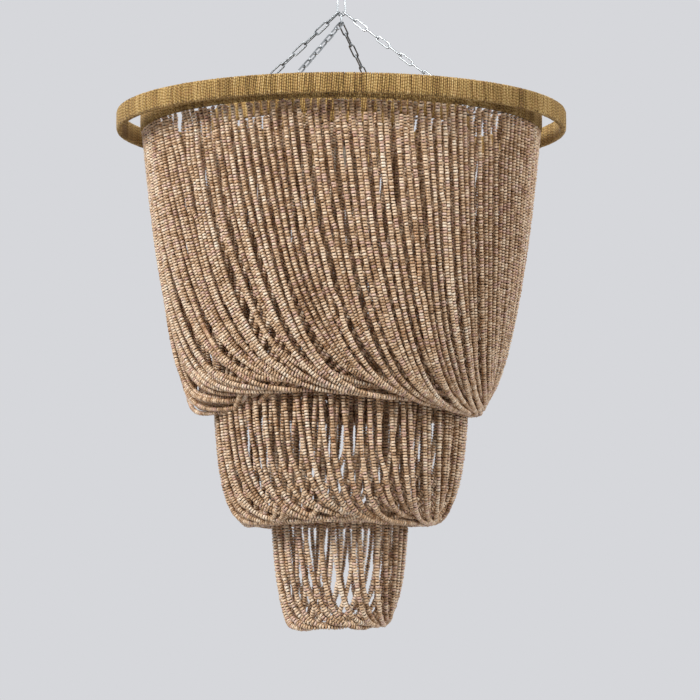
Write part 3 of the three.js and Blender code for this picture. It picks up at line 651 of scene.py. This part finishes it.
def makeTwineTree():
    tree, given = geometryTree("twineWinding", winding)
    count = mathNode(tree, "MULTIPLY", given["turns"], given["pointsPerTurn"])
    line = addNode(tree, "GeometryNodeMeshLine", {"Count": count}).outputs[0]
    index = addNode(tree, "GeometryNodeInputIndex").outputs[0]
    turn = mathNode(tree, "DIVIDE", index, given["pointsPerTurn"])
    angle = mathNode(tree, "MULTIPLY", mathNode(tree, "FRACT", turn), 2 * math.pi)
    around = mathNode(tree, "MULTIPLY", mathNode(tree, "DIVIDE", turn, given["turns"]), 2 * math.pi)

    def squared(kind):  # a cosine or sine drawn out into a rounded rectangle
        value = mathNode(tree, kind, angle)
        reach = mathNode(tree, "POWER", mathNode(tree, "ABSOLUTE", value), given["squareness"])
        return mathNode(tree, "MULTIPLY", mathNode(tree, "SIGN", value), reach)

    def perTurn(pace, **settings):
        return lineNoise(tree, mathNode(tree, "MULTIPLY_ADD", turn, pace, given["seed"]), **settings)

    noise = perTurn(1.0, Scale=yarnLook["unevenPace"], Detail=2.0)
    uneven = mathNode(tree, "MULTIPLY", mathNode(tree, "SUBTRACT", noise, 0.5), given["unevenness"])
    wide = mathNode(tree, "MULTIPLY", squared("COSINE"), mathNode(tree, "ADD", given["halfWidth"], uneven))
    high = mathNode(tree, "MULTIPLY", squared("SINE"), mathNode(tree, "ADD", given["halfHeight"], uneven))
    radius = mathNode(tree, "ADD", given["radius"], wide)
    leaning = perTurn(yarnLook["slantPace"], Scale=1.0, Detail=1.0)
    leaning = mathNode(tree, "SUBTRACT", leaning, yarnLook["slantMiddle"])
    slant = mathNode(tree, "MULTIPLY", leaning, given["slant"])
    lean = mathNode(tree, "DIVIDE", mathNode(tree, "MULTIPLY", high, slant), given["radius"])
    around = mathNode(tree, "ADD", around, lean)
    where = addNode(tree, "ShaderNodeCombineXYZ", {
        "X": mathNode(tree, "MULTIPLY", radius, mathNode(tree, "COSINE", around)),
        "Y": mathNode(tree, "MULTIPLY", radius, mathNode(tree, "SINE", around)),
        "Z": mathNode(tree, "ADD", given["level"], high)})
    wound = addNode(tree, "GeometryNodeSetPosition", {
        "Geometry": line, "Position": where.outputs[0]}).outputs[0]
    patches = perTurn(yarnLook["patchPace"], Scale=1.0, Detail=5.0, Roughness=0.75)
    whole = mathNode(tree, "ADD", mathNode(tree, "FLOOR", turn), given["seed"])
    single = addNode(
        tree, "ShaderNodeTexWhiteNoise", {"W": whole}, noise_dimensions="1D").outputs["Value"]
    tone = mathNode(tree, "MULTIPLY_ADD", patches, yarnLook["patchShare"], yarnLook["toneShift"])
    tone = mathNode(tree, "MULTIPLY_ADD", single, yarnLook["turnShare"], tone)
    toned = storeValue(tree, wound, "tone", tone)
    knotTurn = mathNode(tree, "GREATER_THAN", single, 1 - yarnLook["knotTurns"])
    nearTop = mathNode(tree, "GREATER_THAN", mathNode(tree, "SINE", angle), yarnLook["knotHeight"])
    toned = storeValue(tree, toned, "knot", mathNode(tree, "MULTIPLY", knotTurn, nearTop))
    toned = storeValue(tree, toned, "plyPhase", mathNode(tree, "MULTIPLY", noise, yarnLook["plyPhase"]))
    curve = addNode(tree, "GeometryNodeMeshToCurve", {"Mesh": toned}).outputs[0]
    closed = addNode(tree, "GeometryNodeSetSplineCyclic", {"Geometry": curve, "Cyclic": True}).outputs[0]
    along = addNode(tree, "GeometryNodeSplineParameter").outputs["Length"]
    plies = mathNode(tree, "DIVIDE", mathNode(tree, "MULTIPLY", along, 2 * math.pi), given["plyPitch"])
    plied = storeValue(tree, closed, "ply", mathNode(tree, "ADD", plies, namedValue(tree, "plyPhase")))
    # thicker and thinner yarn, with a knot now and then
    lumpPlace = mathNode(tree, "MULTIPLY_ADD", along, yarnLook["lumpPace"], given["seed"])
    lumps = lineNoise(tree, lumpPlace, Scale=1.0, Detail=2.0)
    thickness = mathNode(tree, "MULTIPLY_ADD", lumps, given["lump"], yarnLook["thinnest"])
    thickness = mathNode(tree, "MULTIPLY_ADD", namedValue(tree, "knot"), given["knot"], thickness)
    thick = addNode(tree, "GeometryNodeSetCurveRadius", {"Curve": plied, "Radius": thickness}).outputs[0]
    ring = addNode(tree, "GeometryNodeCurvePrimitiveCircle", {"Resolution": 4, "Radius": given["yarn"]})
    yarn = addNode(tree, "GeometryNodeCurveToMesh", {"Curve": thick, "Profile Curve": ring.outputs[0]})
    return endTree(tree, yarn.outputs[0], given["finish"])


twineTree = makeTwineTree()
for number, hoop in enumerate(hoops):
    outer = hoopRadius(hoop + "_wrap")
    sizes = {
        **winding, "radius": outer - wrapSizes["thickness"] / 2, "level": hoopLevel,
        "halfWidth": wrapSizes["thickness"] / 2 - yarnSizes["yarn"],
        "halfHeight": hoopHeight / 2 - yarnSizes["yarn"],
        "turns": round(2 * math.pi * outer / wrapSizes["pitch"]), "seed": 17.0 * number}
    piece = growPiece(hoop.replace("_hoop", "Hoop").replace("tier_", "tier") + "Twine",
                      guideMesh([[(0, 0, 0), (0, 0, mm)]]), twineTree, sizes,
                      "twine", "chandelier", hoop + "_wrap")
    print(piece.name + ":", len(piece.data.polygons), "faces")

# Chains of oval links

linkSizes = {
    "wire": 1.7 * mm, "bow": 2.35 * mm, "length": 17.4 * mm,  # bow and length on the wire's centre line
    "bowSteps": 7, "sides": 10,
}
chainSizes = {"links": 11, "pitchFree": 15.4 * mm, "pitchJoined": 15.95 * mm}
hangingLink = {"top": -38.7 * mm, "length": 26 * mm, "topBow": 3.2 * mm, "bow": 4.1 * mm, "seatTurn": 66}
gatherLink = {"top": -62.4 * mm, "length": 12.5 * mm, "topBow": 3.5 * mm, "bow": 3.5 * mm, "seatTurn": 60}
linkWire = 2 * mm
frameSizes = {
    "spoke": 2.4 * mm, "spokeFrom": 28.3 * mm, "spokeTo": 218.8 * mm, "spokeTurn": 67,
    "eyeWire": 2 * mm, "eyeBow": 3.2 * mm,
}
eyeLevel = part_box("eye_far_left")[1].z - frameSizes["eyeWire"] / 2 - frameSizes["eyeBow"]
linkPairs = (chainSizes["links"] - 1) // 2
chainReach = (linkSizes["length"] + linkPairs * (chainSizes["pitchFree"] + chainSizes["pitchJoined"])
              + frameSizes["eyeBow"] - 2 * linkSizes["bow"])


def seatOnBow(link, side):  # where a chain's wire sits on the foot of a link, and which way that wire runs
    turn = math.radians(link["seatTurn"])
    outward = side * math.sin(turn) + Vector((0, 0, -math.cos(turn)))
    tangent = side * -math.cos(turn) + Vector((0, 0, -math.sin(turn)))
    centre = Vector((0, 0, link["top"] - link["length"] + link["bow"]))
    return centre + outward * link["bow"], tangent


def chainRoute(quarter, seat, tangent):
    azimuth = math.radians(frameSizes["spokeTurn"] + 90 * quarter)
    radial = Vector((math.cos(azimuth), math.sin(azimuth), 0))
    offset = seat.dot(radial)
    aside = seat.x ** 2 + seat.y ** 2 - offset ** 2
    radius = offset + math.sqrt(chainReach ** 2 - (seat.z - eyeLevel) ** 2 - aside)
    eye = radial * radius + Vector((0, 0, eyeLevel))
    along = (eye - seat).normalized()
    first = (tangent - along * tangent.dot(along)).normalized()
    last = radial.cross(Vector((0, 0, 1))).cross(along).normalized()
    twist = math.atan2(first.cross(last).dot(along), first.dot(last))
    if abs(twist) > math.pi / 2:
        twist -= math.copysign(math.pi, twist)
    return {"radial": radial, "eye": eye, "along": along, "first": first, "twist": twist,
            "apex": seat - along * linkSizes["bow"]}


bowShare = 0.999  # just short of the whole bow, so that its two fillets stay apart


def makeChainTree():
    tree, given = geometryTree("chainLinks", linkSizes)
    outline = addNode(tree, "GeometryNodeCurvePrimitiveQuadrilateral", {
        "Width": mathNode(tree, "MULTIPLY", given["bow"], 2.0), "Height": given["length"]})
    rounded = addNode(tree, "GeometryNodeFilletCurve", {
        "Curve": outline.outputs[0], "Radius": mathNode(tree, "MULTIPLY", given["bow"], bowShare),
        "Count": given["bowSteps"]}, mode="POLY")
    ring = addNode(tree, "GeometryNodeCurvePrimitiveCircle", {
        "Resolution": given["sides"], "Radius": mathNode(tree, "MULTIPLY", given["wire"], 0.5)})
    link = addNode(tree, "GeometryNodeCurveToMesh", {
        "Curve": rounded.outputs[0], "Profile Curve": ring.outputs[0]})
    facing = addNode(tree, "FunctionNodeAlignRotationToVector", {
        "Vector": namedValue(tree, "facing", "FLOAT_VECTOR")}, axis="Z")
    turned = addNode(tree, "FunctionNodeAlignRotationToVector", {
        "Rotation": facing.outputs[0], "Vector": namedValue(tree, "along", "FLOAT_VECTOR")},
        axis="Y", pivot_axis="Z")
    hung = addNode(tree, "GeometryNodeInstanceOnPoints", {
        "Points": given["Geometry"], "Instance": link.outputs[0], "Rotation": turned.outputs[0]})
    return endTree(tree, hung.outputs[0], given["finish"])


chainTree = makeChainTree()
alongX, alongY, down = Vector((1, 0, 0)), Vector((0, 1, 0)), Vector((0, 0, -1))
chains = {
    "far_right": chainRoute(0, *seatOnBow(gatherLink, alongY)),
    "far_left": chainRoute(1, *seatOnBow(hangingLink, -alongX)),
    "near_left": chainRoute(2, *seatOnBow(gatherLink, -alongY)),
    "near_right": chainRoute(3, *seatOnBow(hangingLink, alongX)),
}
for name, route in chains.items():
    centres, alongs, facings = [], [], []
    for number in range(chainSizes["links"]):
        start = (number // 2) * (chainSizes["pitchFree"] + chainSizes["pitchJoined"])
        start += (number % 2) * chainSizes["pitchFree"]
        turn = number * math.pi / 2 + route["twist"] * number / (chainSizes["links"] - 1)
        facing = route["first"] * math.cos(turn) + route["along"].cross(route["first"]) * math.sin(turn)
        centres.append(tuple(route["apex"] + route["along"] * (start + linkSizes["length"] / 2)))
        alongs.append(tuple(route["along"]))
        facings.append(tuple(facing))
    guide = guideMesh([[centre] for centre in centres], {
        "along": ("FLOAT_VECTOR", alongs), "facing": ("FLOAT_VECTOR", facings)})
    nodes = ["chain_" + name + "_" + str(part) for part in range(1, linkPairs + 2)]
    growPiece("chain_" + name, guide, chainTree, linkSizes, "zinc", "chandelier", *nodes)
print("chains:", len(chains), "of", chainSizes["links"], "links")

# Bent and straight wires: hook, links, spokes with their eyes


def wirePiece(name, points, closed, wire, finish, body, replaced):
    curve = bpy.data.curves.new(name, "CURVE")
    curve.dimensions = "3D"
    curve.bevel_depth = wire / 2
    curve.bevel_resolution = 4
    curve.use_fill_caps = True
    spline = curve.splines.new("POLY")
    spline.points.add(len(points) - 1)
    for point, where in zip(spline.points, points):
        point.co = (*where, 1)
    spline.use_cyclic_u = closed
    piece = plainMesh(addObject(name, curve), name)
    mesh = piece.data
    shape = bmesh.new()
    shape.from_mesh(mesh)
    bmesh.ops.remove_doubles(shape, verts=shape.verts, dist=tolerance)
    bmesh.ops.recalc_face_normals(shape, faces=shape.faces)
    shape.to_mesh(mesh)
    shape.free()
    mesh.shade_smooth()
    mesh.set_sharp_from_angle(angle=math.radians(40))
    return finishPiece(piece, finish, body, replaced)


def bowPoints(centre, across, along, bow, steps=16, sweep=math.pi):
    rows = []
    for step in range(steps + 1):
        turn = sweep * step / steps
        rows.append(centre + across * (bow * math.cos(turn)) - along * (bow * math.sin(turn)))
    return rows


def linkLoop(link, across):
    apex = Vector((0, 0, link["top"]))
    first = bowPoints(apex + down * link["topBow"], across, down, link["topBow"])
    last = bowPoints(apex + down * (link["length"] - link["bow"]), -across, -down, link["bow"])
    return first + last


hookSizes = {"wire": 3 * mm, "bow": 7 * mm, "reach": 40 * mm, "tipTurn": 12, "steps": 32}


def hookLine():
    bow = hookSizes["bow"]
    upper = Vector((0, 0, hookSizes["wire"] / 2 - bow))
    lower = Vector((0, 0, bow - hookSizes["wire"] / 2 - hookSizes["reach"]))
    slope = math.asin(2 * bow / (upper - lower).length)
    tip = math.radians(hookSizes["tipTurn"])
    top = []
    for step in range(hookSizes["steps"] + 1):
        turn = -tip + (math.pi + slope + tip) * step / hookSizes["steps"]
        top.append(upper + Vector((0, math.cos(turn) * bow, math.sin(turn) * bow)))
    low = [Vector((0, -point.y, upper.z + lower.z - point.z)) for point in reversed(top)]
    return top + low


wirePiece("sHook", hookLine(), False, hookSizes["wire"], "zinc", "hook", "s_hook")
wirePiece("hangingLink", linkLoop(hangingLink, alongX), True, linkWire, "zinc", "link", "hanging_link")
wirePiece("gatherLink", linkLoop(gatherLink, alongY), True, linkWire, "zinc", "chandelier", "gather_link")
for name, route in chains.items():
    ends = (frameSizes["spokeFrom"], frameSizes["spokeTo"])
    bar = [route["radial"] * reach + Vector((0, 0, hoopLevel)) for reach in ends]
    eye = bowPoints(route["eye"], route["radial"], down, frameSizes["eyeBow"], 28, 2 * math.pi)[:-1]
    for kind, run, closed, wire in (("spoke_", bar, False, "spoke"), ("eye_", eye, True, "eyeWire")):
        wirePiece(kind + name, run, closed, frameSizes[wire], "frameSteel", "chandelier", kind + name)
print("wires done")

# Turned pieces: lampholder and bulb


def turnedPiece(name, replaced, finish, outline, body="chandelier", steps=72, ribs=None):
    shape = bmesh.new()  # outline: radius, level and a 1 where the ribs (how many, how deep) are cut
    rings = []
    for radius, level, *ribbed in outline:
        if radius < tolerance:
            rings.append([shape.verts.new((0, 0, level))])
            continue
        ring = []
        for step in range(steps):
            turn = 2 * math.pi * step / steps
            reach = radius
            if ribs and ribbed:
                reach -= ribs[1] * (0.5 + 0.5 * math.cos(ribs[0] * turn)) ** 2
            ring.append(shape.verts.new((reach * math.cos(turn), reach * math.sin(turn), level)))
        rings.append(ring)
    pairs = list(zip(rings, rings[1:]))
    if len(rings[0]) > 1:
        pairs.append((rings[-1], rings[0]))
    for first, second in pairs:
        for step in range(steps):
            after = (step + 1) % steps
            corners = [first[step % len(first)], first[after % len(first)],
                       second[after % len(second)], second[step % len(second)]]
            face = list(dict.fromkeys(corners))
            if len(face) > 2:
                shape.faces.new(face)
    bmesh.ops.recalc_face_normals(shape, faces=shape.faces)
    mesh = bpy.data.meshes.new(name)
    shape.to_mesh(mesh)
    shape.free()
    mesh.shade_smooth()
    mesh.set_sharp_from_angle(angle=math.radians(32))
    return finishPiece(addObject(name, mesh), finish, body, replaced)


def roundedRim(radius, low, high, edge, *ribbed):  # an outer face from low to high with broken edges
    return [(radius - edge, low), (radius, low + edge, *ribbed),
            (radius, high - edge, *ribbed), (radius - edge, high)]


def threadRows(radius, depth, top, pitch, turns):  # rounded crests from the top down
    rows = []
    perTurn = 6
    for step in range(turns * perTurn + 1):
        swell = 0.5 - 0.5 * math.cos(2 * math.pi * step / perTurn)
        rows.append((radius - depth + depth * swell, top - pitch * step / perTurn))
    return rows


def nodeSpan(node):  # lowest and highest level of a node
    low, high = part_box(node)
    return low.z, high.z


skirtLow, skirtHigh = nodeSpan("lampholder_skirt")
ringLow, ringHigh = nodeSpan("shade_ring")
capLow, capHigh = nodeSpan("lampholder_cap")
gripLow, gripHigh = nodeSpan("cord_grip")
insertLow, insertHigh = nodeSpan("lampholder_insert")
shellLow, shellHigh = nodeSpan("screw_shell")
bulbCapLow, bulbCapHigh = nodeSpan("bulb_cap")
glassLow, glassHigh = nodeSpan("bulb_glass")
hubLow, hubHigh = nodeSpan("hub_ring")

edge = 0.4 * mm  # broken edges of moulded pieces
clear = 0.3 * mm  # between pieces that lie on each other
hub = {"bore": 19.8 * mm, "radius": 28 * mm}
turnedPiece("hubRing", "hub_ring", "frameSteel", [
    (hub["bore"], hubLow), *roundedRim(hub["radius"], hubLow, hubHigh, edge), (hub["bore"], hubHigh)])

skirt = {
    "bore": 17.3 * mm, "radius": 19.5 * mm, "threadDepth": 0.5 * mm, "threadPitch": 2.4 * mm, "turns": 4,
    "threadTop": 0.5 * mm, "flange": 23.5 * mm, "flangeThickness": 2.5 * mm,
}
flangeLow = hubHigh + clear
skirtThread = threadRows(
    skirt["radius"], skirt["threadDepth"], ringLow - skirt["threadTop"], skirt["threadPitch"], skirt["turns"])
turnedPiece("lampholderSkirt", "lampholder_skirt", "blackPlastic", [
    (skirt["bore"], skirtLow), (skirt["radius"] - edge, skirtLow), (skirt["radius"], skirtLow + edge),
    *reversed(skirtThread), (skirt["radius"], ringLow), (skirt["radius"], flangeLow),
    *roundedRim(skirt["flange"], flangeLow, flangeLow + skirt["flangeThickness"], edge),
    (skirt["radius"], flangeLow + skirt["flangeThickness"]), (skirt["radius"], skirtHigh - edge),
    (skirt["radius"] - edge, skirtHigh), (skirt["bore"], skirtHigh)])

shadeRing = {"bore": 19.8 * mm, "radius": 25.5 * mm, "edge": 0.6 * mm, "ribs": (36, 0.9 * mm)}
turnedPiece("shadeRing", "shade_ring", "blackPlastic", [
    (shadeRing["bore"], ringLow), *roundedRim(shadeRing["radius"], ringLow, ringHigh, shadeRing["edge"], 1),
    (shadeRing["bore"], ringHigh)], steps=144, ribs=shadeRing["ribs"])

cap = {
    "bore": 19.8 * mm, "radius": 21.8 * mm, "wallHeight": 7 * mm, "boreHeight": 8 * mm, "shoulder": 1.4 * mm,
    "neck": 11.6 * mm, "neckDrop": 2.6 * mm, "crown": 10.4 * mm, "crownDrop": 1 * mm, "top": 9 * mm,
    "hole": 5 * mm, "roof": 2 * mm, "ribs": (36, 0.6 * mm),
}
turnedPiece("lampholderCap", "lampholder_cap", "blackPlastic", [
    (cap["bore"], capLow), (cap["radius"] - edge, capLow), (cap["radius"], capLow + edge, 1),
    (cap["radius"], capLow + cap["wallHeight"], 1),
    (cap["radius"] - edge, capLow + cap["wallHeight"] + cap["shoulder"]),
    (cap["neck"], capHigh - cap["neckDrop"]), (cap["crown"], capHigh - cap["crownDrop"]),
    (cap["top"], capHigh), (cap["hole"], capHigh), (cap["hole"], capHigh - cap["roof"]),
    (cap["top"], capHigh - cap["roof"]), (cap["bore"], capLow + cap["boreHeight"])],
    steps=144, ribs=cap["ribs"])

grip = {
    "bore": 3.2 * mm, "shank": 4.7 * mm, "radius": 6.2 * mm, "crown": 5.2 * mm, "crownDrop": 1.2 * mm,
    "foot": 0.3 * mm, "ribs": (20, 0.5 * mm),
}
gripFoot = capHigh + clear
turnedPiece("cordGrip", "cord_grip", "blackPlastic", [
    (grip["bore"], gripLow), (grip["shank"], gripLow), (grip["shank"], gripFoot),
    (grip["radius"] - grip["foot"], gripFoot), (grip["radius"], gripFoot + edge, 1),
    (grip["radius"], gripHigh - grip["crownDrop"], 1), (grip["crown"], gripHigh),
    (grip["bore"] + edge, gripHigh), (grip["bore"], gripHigh - edge)], steps=120, ribs=grip["ribs"])

insert = {"radius": 17 * mm, "hole": 4 * mm, "holeDepth": 3 * mm}
turnedPiece("lampholderInsert", "lampholder_insert", "ceramic", [
    (0, insertLow + insert["holeDepth"]), (insert["hole"], insertLow + insert["holeDepth"]),
    (insert["hole"], insertLow + edge), (insert["hole"] + edge, insertLow),
    *roundedRim(insert["radius"], insertLow, insertHigh, edge), (0, insertHigh)])

shell = {
    "bore": 13.9 * mm, "radius": 14.5 * mm, "lip": 0.3 * mm, "lipHeight": 0.6 * mm, "top": 1 * mm,
    "threadDepth": 0.35 * mm, "threadPitch": 3.6 * mm, "turns": 5,
}
shellThread = threadRows(
    shell["radius"], shell["threadDepth"], shellHigh - shell["top"], shell["threadPitch"], shell["turns"])
turnedPiece("screwShell", "screw_shell", "brass", [
    (shell["bore"], shellLow), (shell["radius"], shellLow),
    (shell["radius"] - shell["lip"], shellLow + shell["lipHeight"]), *reversed(shellThread),
    (shell["radius"], shellHigh), (shell["bore"], shellHigh)])

screwCap = {
    "contact": 3 * mm, "contactFoot": 3.7 * mm, "shoulder": 12.2 * mm, "radius": 13.3 * mm,
    "neck": 12.9 * mm, "neckHeight": 3 * mm, "bore": 12.3 * mm, "boreHeight": 6 * mm,
    # depths below the contact's face
    "contactEdge": 0.2 * mm, "contactDrop": 1 * mm, "glassDrop": 3.2 * mm, "shoulderDrop": 6 * mm,
    "threadDrop": 6.4 * mm, "threadDepth": 0.8 * mm, "threadPitch": 3.6 * mm, "turns": 4,
}
turnedPiece("bulbCap", "bulb_cap", "nickel", [
    (0, bulbCapHigh), (screwCap["contact"], bulbCapHigh - screwCap["contactEdge"]),
    (screwCap["contactFoot"], bulbCapHigh - screwCap["contactDrop"]),
    (screwCap["contactFoot"], bulbCapHigh - screwCap["glassDrop"]),
    (screwCap["shoulder"], bulbCapHigh - screwCap["shoulderDrop"]),
    *threadRows(screwCap["radius"], screwCap["threadDepth"], bulbCapHigh - screwCap["threadDrop"],
                screwCap["threadPitch"], screwCap["turns"]),
    (screwCap["neck"], bulbCapLow + screwCap["neckHeight"]), (screwCap["radius"], bulbCapLow),
    (screwCap["bore"], bulbCapLow), (screwCap["bore"], bulbCapLow + screwCap["boreHeight"]),
    (0, bulbCapLow + screwCap["boreHeight"])], "bulb")

globe = {"radius": 22.5 * mm, "neck": 12 * mm, "wall": 1 * mm, "rows": 26}
globeCentre = glassLow + globe["radius"]


def globeRows(radius, neck):  # from the neck to the pole
    start = math.asin(neck / radius)
    rows = []
    for step in range(globe["rows"]):
        turn = start + (math.pi - start) * step / globe["rows"]
        rows.append((radius * math.sin(turn), globeCentre + radius * math.cos(turn)))
    return rows + [(0, globeCentre - radius)]


innerNeck = globe["neck"] - globe["wall"]
turnedPiece("bulbGlass", "bulb_glass", "opalGlass", [
    *reversed(globeRows(globe["radius"], globe["neck"])), (globe["neck"], glassHigh),
    (innerNeck, glassHigh), *globeRows(globe["radius"] - globe["wall"], innerNeck)], "bulb")
print("lampholder and bulb done")

for hoop in hoops:
    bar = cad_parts[hoop + "_bar"]
    bar.data.materials.clear()
    bar.data.materials.append(finishes["frameSteel"])

# Camera, light, floor

view = {
    "place": (8.7 * mm, -2850 * mm, -676.7 * mm), "pitchUp": 5.507, "lens": 148.3,
    "background": seen(214, 215, 219), "ambient": 0.42, "ambientBelow": 0.1,
    "ambientColour": (1, 0.94, 0.85, 1), "aim": (0, 0, -0.38),
    "key": {"place": (-1.9, -2.3, 1.3), "size": 1.2, "power": 116},
    "fill": {"place": (2.5, -1.3, 0.6), "size": 1.8, "power": 46},
    "back": {"place": (0.6, 2.4, 1.0), "size": 1.6, "power": 20},
    "horizon": (-0.5, 0.4),  # between these heights of the sky the ambient light rises
    "floor": -2.2, "floorRadius": 2.6, "floorTones": (seen(226, 226, 228), seen(218, 218, 221)),
}
camera = addObject("camera", bpy.data.cameras.new("camera"))
camera.location = view["place"]
camera.rotation_euler = (math.radians(90 + view["pitchUp"]), 0, 0)
camera.data.lens = view["lens"]
camera.data.sensor_width = 36
camera.data.clip_end = 50
scene.camera = camera

for name in ("key", "fill", "back"):
    lamp = bpy.data.lights.new(name, "AREA")
    lamp.energy = view[name]["power"]
    lamp.size = view[name]["size"]
    lampObject = addObject(name, lamp)
    lampObject.location = view[name]["place"]
    sight = Vector(view["aim"]) - Vector(view[name]["place"])
    lampObject.rotation_euler = sight.to_track_quat("-Z", "Y").to_euler()

world = bpy.data.worlds.new("studio")
world.use_nodes = True
scene.world = world
tree = world.node_tree
tree.nodes.clear()
path = addNode(tree, "ShaderNodeLightPath").outputs
shown = mathNode(tree, "MAXIMUM", mathNode(tree, "MAXIMUM", path["Is Camera Ray"], path["Is Glossy Ray"]),
                 path["Is Transmission Ray"])
direction = addNode(tree, "ShaderNodeSeparateXYZ", {
    "Vector": addNode(tree, "ShaderNodeTexCoord").outputs["Generated"]}).outputs["Z"]
above = addNode(tree, "ShaderNodeMapRange", {
    0: direction, 1: view["horizon"][0], 2: view["horizon"][1],
    3: view["ambientBelow"], 4: view["ambient"]}).outputs[0]
lighting = addNode(tree, "ShaderNodeBackground", {"Color": view["ambientColour"], "Strength": above})
backdrop = addNode(tree, "ShaderNodeBackground", {"Color": view["background"], "Strength": 1.0})
mixed = addNode(tree, "ShaderNodeMixShader", {0: shown, 1: lighting.outputs[0], 2: backdrop.outputs[0]})
addNode(tree, "ShaderNodeOutputWorld", {"Surface": mixed.outputs[0]})

# The floor is pale from above and lets a camera below it see through
floorMaterial, tree, shader = surface(
    "floor", {"Roughness": 0.9, "Specular IOR Level": 0.1}, seen(222, 222, 224))
grain = grainNode(tree, 30.0)
connect(tree, shader, mixColour(tree, grain["Cloud"], *view["floorTones"]))
seeThrough = addNode(tree, "ShaderNodeBsdfTransparent")
below = addNode(tree, "ShaderNodeNewGeometry").outputs["Backfacing"]
oneSided = addNode(tree, "ShaderNodeMixShader", {0: below, 1: shader.outputs[0], 2: seeThrough.outputs[0]})
output = next(node for node in tree.nodes if node.bl_idname == "ShaderNodeOutputMaterial")
tree.links.new(oneSided.outputs[0], output.inputs["Surface"])
shape = bmesh.new()
bmesh.ops.create_circle(shape, cap_ends=True, segments=64, radius=view["floorRadius"])
floorMesh = bpy.data.meshes.new("floor")
shape.to_mesh(floorMesh)
shape.free()
for corner in floorMesh.vertices:
    corner.co.z = view["floor"]
floor = addObject("floor", floorMesh)
floorMesh.materials.append(floorMaterial)
